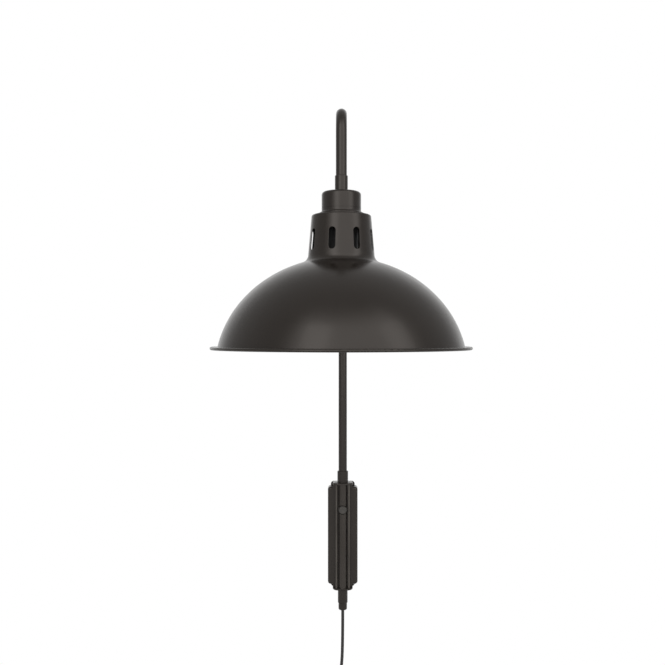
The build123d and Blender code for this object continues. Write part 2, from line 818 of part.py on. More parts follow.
# ---- cord gland: body, locknut inside the cap, seal and compression nut
with BuildPart() as gland_body:
    with BuildSketch(riser_plane):
        with BuildLine():
            Polyline(
                (cord_radius + fit_gap, gland_low - gland_nose_length),
                (gland_nose, gland_low - gland_nose_length),
                (gland_nose, gland_low),
                (gland_radius - gland_chamfer, gland_low),
                (gland_radius, gland_low + gland_chamfer),
                (gland_radius, housing_bottom),
                (gland_thread, housing_bottom),
                (gland_thread, housing_bottom + gland_thread_length),
                (cord_radius + fit_gap, housing_bottom + gland_thread_length),
                close=True,
            )
        make_face()
    revolve(axis=riser_axis)
gland_body.part.label = "gland_body"
export_step(gland_body.part, "parts/gland_body.step")

with BuildPart() as gland_locknut:
    with BuildSketch(Plane.XY.offset(-core_half)):
        with Locations((0, riser_y)):
            RegularPolygon(locknut_across / 2, 6, major_radius=False, rotation=30)
            Circle(gland_thread + face_gap, mode=Mode.SUBTRACT)
    extrude(amount=locknut_height)
gland_locknut.part.label = "gland_locknut"
export_step(gland_locknut.part, "parts/gland_locknut.step")

nose_end = gland_low - gland_nose_length
seal_low = nose_end - gland_seal_length
with BuildPart() as gland_seal:
    with BuildSketch(Plane.XY.offset(seal_low)):
        with Locations((0, riser_y)):
            Circle(gland_nose)
            Circle(cord_radius + face_gap, mode=Mode.SUBTRACT)
    extrude(amount=gland_seal_length - face_gap)
gland_seal.part.label = "gland_seal"
export_step(gland_seal.part, "parts/gland_seal.step")

with BuildPart() as gland_nut:
    with BuildSketch(riser_plane):
        with BuildLine():
            nut_side = Line((gland_nut_radius, gland_low), (gland_nut_radius, cord_exit + gland_nut_edge))
            nut_edge = RadiusArc(
                nut_side @ 1,
                (gland_nut_radius - gland_nut_edge, cord_exit),
                gland_nut_edge,
            )
            Polyline(
                nut_edge @ 1,
                (cord_radius + fit_gap, cord_exit),
                (cord_radius + fit_gap, seal_low - face_gap),
                (gland_nose + fit_gap, seal_low - face_gap),
                (gland_nose + fit_gap, gland_low),
                nut_side @ 0,
            )
        make_face()
    revolve(axis=riser_axis)
gland_nut.part.label = "gland_nut"
export_step(gland_nut.part, "parts/gland_nut.step")

# ---- cord held in the gland and the clamp
with BuildPart() as cord_inlet:
    with BuildSketch(Plane.XY.offset(cord_exit)):
        with Locations((0, riser_y)):
            Circle(cord_radius)
    extrude(amount=cord_inlet_top - cord_exit)
cord_inlet.part.label = "cord_inlet"
export_step(cord_inlet.part, "parts/cord_inlet.step")

# ================================================================ arm
arm_route = [
    (0, riser_y, tube_foot),
    (0, riser_y, arm_height),
    (0, lamp_y, arm_height),
    (0, lamp_y, tube_end),
]
with BuildPart() as arm_tube:
    with BuildLine() as arm_path:
        FilletPolyline(*arm_route, radius=bend_radius)
    with BuildSketch(Plane.XY.offset(tube_foot)):
        with Locations((0, riser_y)):
            Circle(tube_radius)
            Circle(tube_radius - tube_wall, mode=Mode.SUBTRACT)
    sweep(path=arm_path.line)
    with BuildSketch(Plane.XZ.offset(riser_depth)):
        with Locations((0, pin_level)):
            Circle(stop_pin_radius)
    extrude(amount=-tube_radius - tube_wall, mode=Mode.SUBTRACT)
arm_tube.part.label = "arm_tube"
export_step(arm_tube.part, "parts/arm_tube.step")

with BuildPart() as stop_pin:
    with BuildSketch(Plane.XZ.offset(riser_depth - (tube_radius - tube_wall - free_gap))):
        with Locations((0, pin_level)):
            Circle(stop_pin_radius)
    extrude(amount=-(stop_groove_radius - tube_radius + tube_wall + free_gap - fit_gap))
stop_pin.part.label = "stop_pin"
export_step(stop_pin.part, "parts/stop_pin.step")

flex_route = [
    (0, riser_y, tube_foot - face_gap),
    (0, riser_y, arm_height),
    (0, lamp_y, arm_height),
    (0, lamp_y, holder_top - holder_roof + free_gap),
]
with BuildPart() as arm_flex:
    with BuildLine() as flex_path:
        FilletPolyline(*flex_route, radius=bend_radius)
    with BuildSketch(Plane.XY.offset(tube_foot - face_gap)):
        with Locations((0, riser_y)):
            Circle(flex_radius)
    sweep(path=flex_path.line)
arm_flex.part.label = "arm_flex"
export_step(arm_flex.part, "parts/arm_flex.step")

# ================================================================ lamp head
with BuildPart() as shade_ferrule:
    with BuildSketch(lamp_plane):
        with BuildLine():
            Polyline(
                (nipple_radius + face_gap, cup_top),
                (ferrule_radius, cup_top),
                (ferrule_radius, cup_top + ferrule_height - ferrule_chamfer),
                (ferrule_radius - ferrule_chamfer, cup_top + ferrule_height),
                (tube_radius + face_gap, cup_top + ferrule_height),
                (tube_radius + face_gap, tube_end - face_gap),
                (nipple_radius + face_gap, tube_end - face_gap),
                close=True,
            )
        make_face()
    revolve(axis=lamp_axis)
shade_ferrule.part.label = "shade_ferrule"
export_step(shade_ferrule.part, "parts/shade_ferrule.step")

with BuildPart() as shade_nipple:
    with BuildSketch(Plane.XY.offset(nipple_foot)):
        with Locations((0, lamp_y)):
            Circle(nipple_radius)
            Circle(nipple_bore, mode=Mode.SUBTRACT)
    extrude(amount=nipple_top - nipple_foot)
shade_nipple.part.label = "shade_nipple"
export_step(shade_nipple.part, "parts/shade_nipple.step")

with BuildPart() as nipple_nut:
    with BuildSketch(Plane.XY.offset(cup_top - cup_wall - nipple_nut_height)):
        with Locations((0, lamp_y)):
            RegularPolygon(nipple_nut_across / 2, 6, major_radius=False)
            Circle(nipple_radius + face_gap, mode=Mode.SUBTRACT)
    extrude(amount=nipple_nut_height)
nipple_nut.part.label = "nipple_nut"
export_step(nipple_nut.part, "parts/nipple_nut.step")

# ---- socket cup: spun cover over the lampholder, with a groove and a turned-out lip
with BuildPart() as socket_cup:
    with BuildSketch(lamp_plane) as cup_profile:
        with BuildLine():
            cup_roof = Line((nipple_radius + face_gap, cup_top), (cup_radius - cup_corner, cup_top))
            cup_round = TangentArc(
                cup_roof @ 1,
                (cup_radius, cup_top - cup_corner),
                tangent=(1, 0),
            )
            lip_top = cup_foot + cup_lip_height
            lip_flare = cup_lip_radius - cup_radius
            cup_side = Line(cup_round @ 1, (cup_radius, lip_top + lip_flare))
            TangentArc(cup_side @ 1, (cup_lip_radius, lip_top), tangent=(0, -1))
            inner_radius = cup_radius - cup_wall
            inner_corner = cup_corner - cup_wall
            inner_top = cup_top - cup_wall
            Polyline(
                (cup_lip_radius, lip_top),
                (cup_lip_radius, cup_foot),
                (inner_radius, cup_foot),
                (inner_radius, inner_top - inner_corner),
            )
            inner_round = TangentArc(
                (inner_radius, inner_top - inner_corner),
                (inner_radius - inner_corner, inner_top),
                tangent=(0, 1),
            )
            Polyline(
                inner_round @ 1,
                (nipple_radius + face_gap, inner_top),
                (nipple_radius + face_gap, cup_top),
            )
        make_face()
        with Locations((cup_radius, cup_foot + cup_groove_level)):
            Rectangle(2 * cup_groove_depth, cup_groove_height, mode=Mode.SUBTRACT)
    revolve(axis=lamp_axis)
socket_cup.part.label = "socket_cup"
export_step(socket_cup.part, "parts/socket_cup.step")

# ---- lampholder: body with a flange on the neck's top and a threaded skirt below it
with BuildPart() as lampholder:
    with BuildSketch(lamp_plane):
        with BuildLine():
            Polyline(
                (nipple_radius + face_gap, holder_top + holder_boss_height),
                (holder_boss_radius, holder_top + holder_boss_height),
                (holder_boss_radius, holder_top),
                (holder_radius, holder_top),
                (holder_radius, holder_seat + holder_flange_height),
                (holder_flange_radius, holder_seat + holder_flange_height),
                (holder_flange_radius, holder_seat),
                (holder_radius, holder_seat),
                (holder_radius, holder_foot),
                (holder_skirt_bore, holder_foot),
                (holder_skirt_bore, cap_foot - free_gap),
                (holder_bore, cap_foot - free_gap),
                (holder_bore, holder_top - holder_roof),
                (nipple_radius + face_gap, holder_top - holder_roof),
                close=True,
            )
        make_face()
    revolve(axis=lamp_axis)
lampholder.part.label = "lampholder"
export_step(lampholder.part, "parts/lampholder.step")

with BuildPart() as screw_shell:
    with BuildSketch(Plane.XY.offset(cap_foot)):
        with Locations((0, lamp_y)):
            Circle(shell_bore + shell_wall)
            Circle(shell_bore, mode=Mode.SUBTRACT)
    extrude(amount=shell_height)
screw_shell.part.label = "screw_shell"
export_step(screw_shell.part, "parts/screw_shell.step")

with BuildPart() as centre_contact:
    with BuildSketch(Plane.XY.offset(bulb_tip + face_gap)):
        with Locations((0, lamp_y)):
            Circle(contact_radius)
    extrude(amount=contact_thickness)
    with BuildSketch(Plane.XY.offset(bulb_tip + face_gap)):
        with Locations((contact_radius, lamp_y)):
            Rectangle(2 * (holder_bore - contact_radius - free_gap), contact_width)
    extrude(amount=contact_thickness)
centre_contact.part.label = "centre_contact"
export_step(centre_contact.part, "parts/centre_contact.step")

# ---- shade ring: clamps the neck's top against the lampholder's flange
with BuildPart() as shade_ring:
    ring_top = neck_top - neck_wall - face_gap
    with BuildSketch(lamp_plane):
        with BuildLine():
            Polyline(
                (holder_radius + fit_gap, ring_top),
                (shade_ring_radius, ring_top),
                (shade_ring_radius, ring_top - shade_ring_flange),
                (shade_ring_radius - shade_ring_step, ring_top - shade_ring_flange),
                (shade_ring_radius - shade_ring_step, ring_top - shade_ring_height),
                (holder_radius + fit_gap, ring_top - shade_ring_height),
                close=True,
            )
        make_face()
    revolve(axis=lamp_axis)
    with BuildSketch(Plane.XY.offset(ring_top - shade_ring_height)):
        with Locations((0, lamp_y)):
            with PolarLocations(shade_ring_radius - shade_ring_step, shade_ring_notches):
                Circle(shade_ring_notch)
    extrude(amount=shade_ring_height - shade_ring_flange, mode=Mode.SUBTRACT)
shade_ring.part.label = "shade_ring"
export_step(shade_ring.part, "parts/shade_ring.step")

# ---- bulb: glass envelope, screw cap and tip contact
def globe(inset):
    """Solid of the bulb's glass outline, set in from its surface."""
    globe_centre = cap_foot - bulb_drop
    globe_radius = bulb_radius - inset
    join = radians(bulb_join)
    with BuildPart(mode=Mode.PRIVATE) as solid:
        with BuildSketch(lamp_plane):
            with BuildLine():
                globe_arc = CenterArc((0, globe_centre), globe_radius, -90, 90 + bulb_join)
                shoulder = TangentArc(
                    globe_arc @ 1,
                    (bulb_neck - inset, cap_foot - bulb_collar),
                    tangent=(-sin(join), cos(join)),
                )
                Polyline(
                    shoulder @ 1,
                    (bulb_neck - inset, cap_foot),
                    (0, cap_foot),
                    (0, globe_centre - globe_radius),
                )
            make_face()
        revolve(axis=lamp_axis)
    return solid.part


with BuildPart() as bulb_glass:
    add(globe(0))
    add(globe(bulb_wall), mode=Mode.SUBTRACT)
bulb_glass.part.label = "bulb_glass"
export_step(bulb_glass.part, "parts/bulb_glass.step")

with BuildPart() as bulb_cap:
    with BuildSketch(lamp_plane):
        with BuildLine():
            Polyline(
                (0, cap_foot),
                (bulb_cap_radius, cap_foot),
                (bulb_cap_radius, cap_shoulder),
                (bulb_cap_top, cap_shoulder + bulb_cap_cone),
                (0, cap_shoulder + bulb_cap_cone),
                close=True,
            )
        make_face()
    revolve(axis=lamp_axis)
bulb_cap.part.label = "bulb_cap"
export_step(bulb_cap.part, "parts/bulb_cap.step")

with BuildPart() as bulb_contact:
    with BuildSketch(Plane.XY.offset(cap_shoulder + bulb_cap_cone)):
        with Locations((0, lamp_y)):
            Circle(bulb_contact_radius)
    extrude(amount=bulb_contact_height)
bulb_contact.part.label = "bulb_contact"
export_step(bulb_contact.part, "parts/bulb_contact.step")

# ---- vented neck: spun cone with slots all round, its foot spigoted into the dome's collar
spigot_radius = neck_foot_radius - shade_wall - fit_gap


def under_skin(edge):
    """Depth of an edge's middle under the neck's outer cone."""
    spot = edge @ 0.5
    share = (spot.Z - neck_foot) / (neck_height - neck_corner)
    skin = neck_foot_radius + (neck_top_radius - neck_foot_radius) * share
    return skin - hypot(spot.X, spot.Y - lamp_y)


with BuildPart() as vented_neck:
    with BuildSketch(lamp_plane):
        with BuildLine():
            neck_bore = holder_radius + free_gap
            neck_roof = Line((neck_bore, neck_top), (neck_top_radius - neck_corner, neck_top))
            neck_round = TangentArc(
                neck_roof @ 1,
                (neck_top_radius, neck_top - neck_corner),
                tangent=(1, 0),
            )
            inner_corner = neck_corner - neck_wall
            Polyline(
                neck_round @ 1,
                (neck_foot_radius, neck_foot),
                (spigot_radius, neck_foot),
                (spigot_radius, neck_foot - neck_spigot),
                (spigot_radius - neck_wall, neck_foot - neck_spigot),
                (spigot_radius - neck_wall, neck_foot + neck_joggle),
                (neck_foot_radius - neck_wall, neck_foot + 2 * neck_joggle),
                (neck_top_radius - neck_wall, neck_top - neck_corner),
            )
            inner_round = TangentArc(
                (neck_top_radius - neck_wall, neck_top - neck_corner),
                (neck_top_radius - neck_corner, neck_top - neck_wall),
                tangent=(0, 1),
            )
            Polyline(
                inner_round @ 1,
                (neck_bore, neck_top - neck_wall),
                (neck_bore, neck_top),
            )
        make_face()
    revolve(axis=lamp_axis)
    for index in range(slot_count):
        slot_angle = slot_phase + index * 360 / slot_count
        slot_plane = Plane(
            origin=(0, lamp_y, neck_foot + slot_rise),
            x_dir=(cos(radians(slot_angle)), sin(radians(slot_angle)), 0),
            z_dir=(sin(radians(slot_angle)), -cos(radians(slot_angle)), 0),
        )
        with BuildSketch(slot_plane.offset(neck_top_radius / 2)):
            SlotOverall(slot_height, slot_width, rotation=90)
        extrude(amount=neck_foot_radius, mode=Mode.SUBTRACT)
        slot_edges = vented_neck.edges(Select.LAST)
        fillet(slot_edges.filter_by(lambda edge: under_skin(edge) < neck_wall / 4), slot_edge)
vented_neck.part.label = "vented_neck"
export_step(vented_neck.part, "parts/vented_neck.step")

# ---- dome: elliptical bowl with a collar at the crown and a brim that ends in a rolled edge
inner_radius = dome_radius - shade_wall
inner_rise = dome_rise - shade_wall
outer_start = degrees(asin((flange_top - dome_centre) / dome_rise))
inner_start = degrees(asin((flange_top - shade_wall - dome_centre) / inner_rise))
inner_end = degrees(asin((inner_foot.Y - dome_centre) / inner_rise))
bead_radius = shade_radius - rim_bead
with BuildPart() as shade_dome:
    with BuildSketch(lamp_plane) as dome_profile:
        with BuildLine():
            outer_curve = EllipticalCenterArc(
                (0, dome_centre),
                dome_radius,
                dome_rise,
                start_angle=outer_start,
                arc_size=degrees(crown) - outer_start,
            )
            outer_fillet = RadiusArc(
                outer_curve @ 1,
                (neck_foot_radius, neck_foot),
                crown_fillet,
            )
            Line(outer_fillet @ 1, (neck_foot_radius - shade_wall, neck_foot))
            inner_curve = EllipticalCenterArc(
                (0, dome_centre),
                inner_radius,
                inner_rise,
                start_angle=inner_start,
                arc_size=inner_end - inner_start,
            )
            RadiusArc(
                inner_curve @ 1,
                (neck_foot_radius - shade_wall, neck_foot),
                crown_fillet + shade_wall,
            )
            Line(inner_curve @ 0, (bead_radius, flange_top - shade_wall))
            Line((bead_radius, flange_top - shade_wall), (bead_radius, flange_top))
            Line((bead_radius, flange_top), outer_curve @ 0)
        make_face()
        with Locations((bead_radius, rim_level)):
            Circle(rim_bead)
    revolve(axis=lamp_axis)
shade_dome.part.label = "shade_dome"
export_step(shade_dome.part, "parts/shade_dome.step")

# ================================================================ free cord
coil_x, coil_y, coil_z = coil_centre
layer_turns = quarters_per_layer / 4
coil_inner = coil_outer - coil_pitch * layer_turns
quarter_count = coil_layers * quarters_per_layer


def coil_place(quarters):
    """Centre line of the coil after so many quarter turns: it spirals in and out, layer by layer."""
    layer, step = divmod(quarters, quarters_per_layer)
    share = step / quarters_per_layer
    inward = share if layer % 2 == 0 else 1 - share
    radius = coil_outer + (coil_inner - coil_outer) * inward
    climb = min(max(layer, 0), coil_layers - 1)
    if step < 1 and 0 < layer < coil_layers:
        climb = layer - 0.5 + sin(step * pi / 2) / 2
    if step > quarters_per_layer - 1 and layer < coil_layers - 1:
        climb = layer + 0.5 - sin((quarters_per_layer - step) * pi / 2) / 2
    angle = radians(coil_start + 90 * quarters)
    depth = coil_y + coil_pitch * ((coil_layers - 1) / 2 - climb)
    return Vector(coil_x - radius * sin(angle), depth, coil_z + radius * cos(angle))


def coil_heading(quarters):
    """Direction of the coil's centre line, from two places close to each other."""
    near = 0.001
    before = max(quarters - near, 0)
    after = min(quarters + near, quarter_count - 1e-6)
    return (coil_place(after) - coil_place(before)).normalized()


def biarc(start, heading, end, end_heading):
    """Two arcs that leave one place and reach the next along the given directions."""
    chord = end - start
    total = heading + end_heading
    turn = 2 * (1 - heading.dot(end_heading))
    along = chord.dot(total)
    reach = (-along + (along**2 + turn * chord.dot(chord)) ** 0.5) / turn
    middle = (start + end + (heading - end_heading) * reach) * 0.5
    middle_heading = ((end - end_heading * reach) - (start + heading * reach)).normalized()
    TangentArc(start, middle, tangent=heading)
    TangentArc(middle, end, tangent=middle_heading)


coil_nodes = [coil_place(index) for index in range(quarter_count)]
coil_nodes.append(coil_place(quarter_count - 1e-9))
coil_headings = [coil_heading(index) for index in range(quarter_count + 1)]
stub = 2 * cord_radius
coil_lead = coil_nodes[0] - coil_headings[0] * stub
coil_tail = coil_nodes[-1] + coil_headings[-1] * stub
with BuildPart() as cord_coil:
    with BuildLine() as coil_path:
        Line(coil_lead, coil_nodes[0])
        for index in range(quarter_count):
            biarc(coil_nodes[index], coil_headings[index], coil_nodes[index + 1], coil_headings[index + 1])
        Line(coil_nodes[-1], coil_tail)
    with BuildSketch(Plane(origin=coil_path.line @ 0, z_dir=coil_path.line % 0)):
        Circle(cord_radius)
    sweep(path=coil_path.line)
cord_coil.part.label = "cord_coil"
export_step(cord_coil.part, "parts/cord_coil.step")


def arc_radii(points):
    """Radius of each corner's arc: 0.45 of the shorter run over the tangent of half the turn."""
    radii = []
    for before, corner, after in zip(points, points[1:], points[2:]):
        run_in = Vector(*corner) - Vector(*before)
        run_out = Vector(*after) - Vector(*corner)
        half_turn = radians(run_in.get_angle(run_out)) / 2
        radii.append(0.45 * min(run_in.length, run_out.length) / tan(half_turn))
    return radii


def free_run(name, points):
    """Tube of a free stretch of the cord, with its radii and volume printed."""
    radii = arc_radii(points)
    with BuildPart(mode=Mode.PRIVATE) as run:
        with BuildLine() as path:
            FilletPolyline(*points, radius=radii)
        with BuildSketch(Plane(origin=path.line @ 0, z_dir=path.line % 0)):
            Circle(cord_radius)
        sweep(path=path.line)
    length = path.wires()[0].length
    ratio = run.part.volume / (length * pi * cord_radius**2)
    print(name, "radii", [round(radius, 1) for radius in radii])
    print(name, "length", round(length, 1), "volume ratio", round(ratio, 4))
    return run.part, length


# ---- stretch from the gland to the coil
lead_run = 16.0
hanging_route = [
    (0.0, riser_y, cord_exit),
    (0.0, riser_y, -155.0),
    (-1.4, -12.6, -203.0),
    tuple(coil_lead - coil_headings[0] * lead_run),
    tuple(coil_lead),
]
with BuildPart() as cord_drop:
    drop_part, drop_length = free_run("cord_drop", hanging_route)
    add(drop_part)
cord_drop.part.label = "cord_drop"
export_step(cord_drop.part, "parts/cord_drop.step")

# ---- stretch from the coil to the plug, which hangs beside it
tail_route = [
    tuple(coil_tail),
    tuple(coil_tail + coil_headings[-1] * lead_run),
    (-49.5, -19.0, -277.0),
    (plug_x, plug_y, -297.0),
    (plug_x, plug_y, plug_entry),
]
with BuildPart() as cord_tail:
    tail_part, tail_length = free_run("cord_tail", tail_route)
    add(tail_part)
cord_tail.part.label = "cord_tail"
export_step(cord_tail.part, "parts/cord_tail.step")

coil_wire = coil_path.wires()[0]
coil_length = coil_wire.length
coil_ratio = cord_coil.part.volume / (coil_length * pi * cord_radius**2)
print("cord_coil length", round(coil_length, 1), "volume ratio", round(coil_ratio, 4))
print("cord length", round(drop_length + coil_length + tail_length, 1))

# ---- least gap of the coil to itself, on points a millimetre apart along its centre line
gap_count = round(coil_length)
gap_points = [tuple(coil_wire.position_at(index / gap_count)) for index in range(gap_count + 1)]
gap_skip = round(pi * coil_inner)  # points nearer than half an inner turn are the same stretch
least_distance = min(
    dist(point, other)
    for index, point in enumerate(gap_points)
    for other in gap_points[index + gap_skip :]
)
print("cord_coil least gap to itself", round(least_distance - 2 * cord_radius, 2))

# ---- tie around the coil: a strap with its ratchet head
tie_direction = (sin(radians(tie_angle)), 0, cos(radians(tie_angle)))
tie_normal = (cos(radians(tie_angle)), 0, -sin(radians(tie_angle)))
tie_plane = Plane(origin=coil_centre, x_dir=tie_direction, z_dir=tie_normal)
tie_inner = coil_inner - cord_radius - tie_curve_room
tie_outer = coil_outer + cord_radius + free_gap
tie_half = coil_pitch * (coil_layers - 1) / 2 + cord_radius + free_gap
with BuildPart() as coil_tie:
    with BuildSketch(tie_plane.offset(-tie_width / 2)):
        tie_span = tie_outer - tie_inner
        tie_depth = 2 * tie_half
        with Locations(((tie_inner + tie_outer) / 2, 0)):
            RectangleRounded(tie_span + 2 * tie_thickness, tie_depth + 2 * tie_thickness, 2 * tie_thickness)
            RectangleRounded(tie_span, tie_depth, tie_thickness, mode=Mode.SUBTRACT)
    extrude(amount=tie_width)
    with BuildSketch(tie_plane.offset(-tie_head_width / 2)):
        with Locations((tie_outer + tie_thickness + tie_head_height / 2, 0)):
            Rectangle(tie_head_height, tie_head_length)
    extrude(amount=tie_head_width)
    fillet(coil_tie.faces().sort_by(Axis(coil_centre, tie_direction))[-1].edges(), tie_thickness)
coil_tie.part.label = "coil_tie"
export_step(coil_tie.part, "parts/coil_tie.step")

# ---- plug: moulded body with its strain relief, two pins and their sleeves
relief_foot = plug_entry + relief_cover - plug_relief_length
plug_face = relief_foot - plug_length
pin_spots = [(plug_x - pin_spacing / 2, plug_y), (plug_x + pin_spacing / 2, plug_y)]
plug_axis = Axis((plug_x, plug_y, 0), (0, 0, 1))
plug_plane = Plane(origin=(plug_x, plug_y, 0), x_dir=(1, 0, 0), z_dir=(0, -1, 0))
with BuildPart() as plug_body:
    with BuildSketch(plug_plane):
        with BuildLine():
            Polyline(
                (0, relief_foot),
                (plug_relief_foot, relief_foot),
                (plug_relief_top, plug_entry + relief_cover),
                (0, plug_entry + relief_cover),
                close=True,
            )
        make_face()
    revolve(axis=plug_axis)
    with BuildSketch(Plane.XY.offset(plug_face)):
        with Locations((plug_x, plug_y)):
            RectangleRounded(plug_face_width, plug_face_depth, plug_face_corner)
    extrude(amount=plug_skirt)
    with BuildSketch(Plane.XY.offset(plug_face + plug_skirt)):
        with Locations((plug_x, plug_y)):
            RectangleRounded(plug_face_width, plug_face_depth, plug_face_corner)
    with BuildSketch(Plane.XY.offset(relief_foot)):
        with Locations((plug_x, plug_y)):
            RectangleRounded(plug_neck_width, plug_neck_depth, plug_neck_depth / 2 - fit_gap)
    loft()
    with BuildSketch(Plane.XY.offset(plug_entry)):
        with Locations((plug_x, plug_y)):
            Circle(cord_radius + face_gap)
    extrude(amount=relief_cover, mode=Mode.SUBTRACT)
    with BuildSketch(Plane.XY.offset(plug_face)):
        with Locations(*pin_spots):
            Circle(pin_core + face_gap)
    extrude(amount=pin_root, mode=Mode.SUBTRACT)
    fillet(plug_body.faces().sort_by(Axis.Z)[0].outer_wire().edges(), 1.0)
plug_body.part.label = "plug_body"
export_step(plug_body.part, "parts/plug_body.step")

with BuildPart() as plug_pins:
    with BuildSketch(Plane.XY.offset(plug_face - pin_sleeve_length)):
        with Locations(*pin_spots):
            Circle(pin_core)
    extrude(amount=pin_sleeve_length + pin_root - face_gap)
    with BuildSketch(Plane.XY.offset(plug_face - pin_length)):
        with Locations(*pin_spots):
            Circle(pin_radius)
    extrude(amount=pin_length - pin_sleeve_length)
    fillet(plug_pins.faces().sort_by(Axis.Z)[:2].edges(), pin_radius * 0.6)
plug_pins.part.label = "plug_pins"
export_step(plug_pins.part, "parts/plug_pins.step")

with BuildPart() as pin_sleeves:
    with BuildSketch(Plane.XY.offset(plug_face - pin_sleeve_length)):
        with Locations(*pin_spots):
            Circle(pin_radius - fit_gap)
        with Locations(*pin_spots):
            Circle(pin_core + face_gap, mode=Mode.SUBTRACT)
    extrude(amount=pin_sleeve_length)
pin_sleeves.part.label = "pin_sleeves"
export_step(pin_sleeves.part, "parts/pin_sleeves.step")
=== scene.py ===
"""Looks of the hanging pendant wall sconce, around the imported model.

Metres, but for the cord's route, which repeats the part's millimetres. +Z is up, the
wall is the plane y = 0 and the lamp stands out along -Y.
"""

import json
import math

import bpy
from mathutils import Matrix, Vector


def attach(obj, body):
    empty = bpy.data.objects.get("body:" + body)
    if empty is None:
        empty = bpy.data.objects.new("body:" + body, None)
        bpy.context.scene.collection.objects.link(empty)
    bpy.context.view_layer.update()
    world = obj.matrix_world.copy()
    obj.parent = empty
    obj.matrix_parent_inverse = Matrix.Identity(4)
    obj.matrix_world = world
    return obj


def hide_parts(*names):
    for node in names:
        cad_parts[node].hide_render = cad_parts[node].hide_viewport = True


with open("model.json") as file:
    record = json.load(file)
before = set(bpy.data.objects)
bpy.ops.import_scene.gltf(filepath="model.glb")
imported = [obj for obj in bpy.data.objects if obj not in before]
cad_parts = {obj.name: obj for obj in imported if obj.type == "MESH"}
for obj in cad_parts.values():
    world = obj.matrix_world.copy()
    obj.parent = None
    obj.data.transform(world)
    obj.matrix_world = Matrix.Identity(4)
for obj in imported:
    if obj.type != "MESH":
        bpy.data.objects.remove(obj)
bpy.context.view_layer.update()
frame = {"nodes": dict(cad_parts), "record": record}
scene = bpy.context.scene
nodes = frame["nodes"]
MM = 0.001

# ---------------------------------------------------------------- camera
photo_side = 665.0  # pixels, as are the next two
focal_length = 884.5
centre_shift = -14.34
camera_data = bpy.data.cameras.new("camera")
camera_data.sensor_width = 36.0
camera_data.lens = camera_data.sensor_width * focal_length / photo_side
camera_data.shift_x = centre_shift / photo_side
camera_data.clip_start = 0.05
camera_data.clip_end = 50.0
camera = bpy.data.objects.new("camera", camera_data)
camera.location = (0.0063, -1.3725, 0.31105)
camera.rotation_euler = (math.radians(90), 0, 0)
scene.collection.objects.link(camera)
scene.camera = camera

# ---------------------------------------------------------------- free cord
cord_radius = 2.3 * MM
riser_y = -14.0
coil_centre = (0.0, riser_y, -266.0)
coil_outer = 31.6  # radius of the widest turns
coil_pitch = 5.1  # between neighbouring turns
coil_layers = 4
quarters_per_layer = 10
coil_start = 45.0  # degrees from the top of the coil
points_per_quarter = 4
coil_inner = coil_outer - coil_pitch * quarters_per_layer / 4
control_reach = 1 / math.cos(math.pi / (4 * points_per_quarter))


def coil_place(quarters):
    """Control point of the coil after so many quarter turns, as the part has it."""
    layer, step = divmod(quarters, quarters_per_layer)
    share = step / quarters_per_layer
    inward = share if layer % 2 == 0 else 1 - share
    radius = coil_outer + (coil_inner - coil_outer) * inward
    climb = layer
    if step < 1 and layer > 0:
        climb = layer - 0.5 + math.sin(step * math.pi / 2) / 2
    if step > quarters_per_layer - 1 and layer < coil_layers - 1:
        climb = layer + 0.5 - math.sin((quarters_per_layer - step) * math.pi / 2) / 2
    angle = math.radians(coil_start + 90 * quarters)
    depth = coil_centre[1] + coil_pitch * ((coil_layers - 1) / 2 - climb)
    side = radius * control_reach * math.sin(angle)
    rise = radius * control_reach * math.cos(angle)
    return (coil_centre[0] - side, depth, coil_centre[2] + rise)


hanging_route = [
    (0.0, riser_y, -114.2),
    (0.0, riser_y, -155.0),
    (-1.4, -12.6, -203.0),
    (-7.4, -6.35, -229.5),
    (-19.18, -6.35, -240.32),
]
tail_route = [
    (-25.68, -21.65, -246.82),
    (-37.5, -21.65, -257.6),
    (-49.5, -19.0, -277.0),
    (-56.0, -17.0, -297.0),
    (-56.0, -17.0, -315.0),
]
coil_count = coil_layers * quarters_per_layer * points_per_quarter
coil_route = [coil_place((index + 0.5) / points_per_quarter) for index in range(coil_count)]
cord_route = hanging_route + coil_route + tail_route

cord_curve = bpy.data.curves.new("supply_cord", "CURVE")
cord_curve.dimensions = "3D"
cord_curve.bevel_depth = 1.0  # each point carries the tube's radius
cord_curve.bevel_resolution = 6
cord_curve.resolution_u = 6
cord_curve.use_fill_caps = True
cord_line = cord_curve.splines.new("NURBS")
cord_line.points.add(len(cord_route) - 1)
for point, place in zip(cord_line.points, cord_route):
    point.co = (place[0] * MM, place[1] * MM, place[2] * MM, 1)
    point.radius = cord_radius
cord_line.order_u = 3
cord_line.use_endpoint_u = True
supply_cord = bpy.data.objects.new("supply_cord", cord_curve)
scene.collection.objects.link(supply_cord)
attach(supply_cord, "wall_unit")
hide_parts("cord_drop", "cord_coil", "cord_tail")


# ---------------------------------------------------------------- shader nodes
def shader_input(made, name):
    """Named socket of a material's shader."""
    return made.node_tree.nodes["Principled BSDF"].inputs[name]


def material(name, color, metallic, roughness):
    """New material with its plain colour and roughness, before any texture varies them."""
    made = bpy.data.materials.new(name)
    made.use_nodes = True
    shader_input(made, "Base Color").default_value = (*color, 1)
    shader_input(made, "Metallic").default_value = metallic
    shader_input(made, "Roughness").default_value = roughness
    return made


def noise(made, scale, detail, stretch=(1, 1, 1)):
    """Noise texture in the object's own coordinates."""
    tree = made.node_tree
    place = tree.nodes.new("ShaderNodeTexCoord")
    fit = tree.nodes.new("ShaderNodeMapping")
    fit.inputs["Scale"].default_value = stretch
    texture = tree.nodes.new("ShaderNodeTexNoise")
    texture.inputs["Scale"].default_value = scale
    texture.inputs["Detail"].default_value = detail
    tree.links.new(place.outputs["Object"], fit.inputs["Vector"])
    tree.links.new(fit.outputs["Vector"], texture.inputs["Vector"])
    return texture


# a noise texture stays mostly between these two values
noise_low = 0.3
noise_high = 0.7


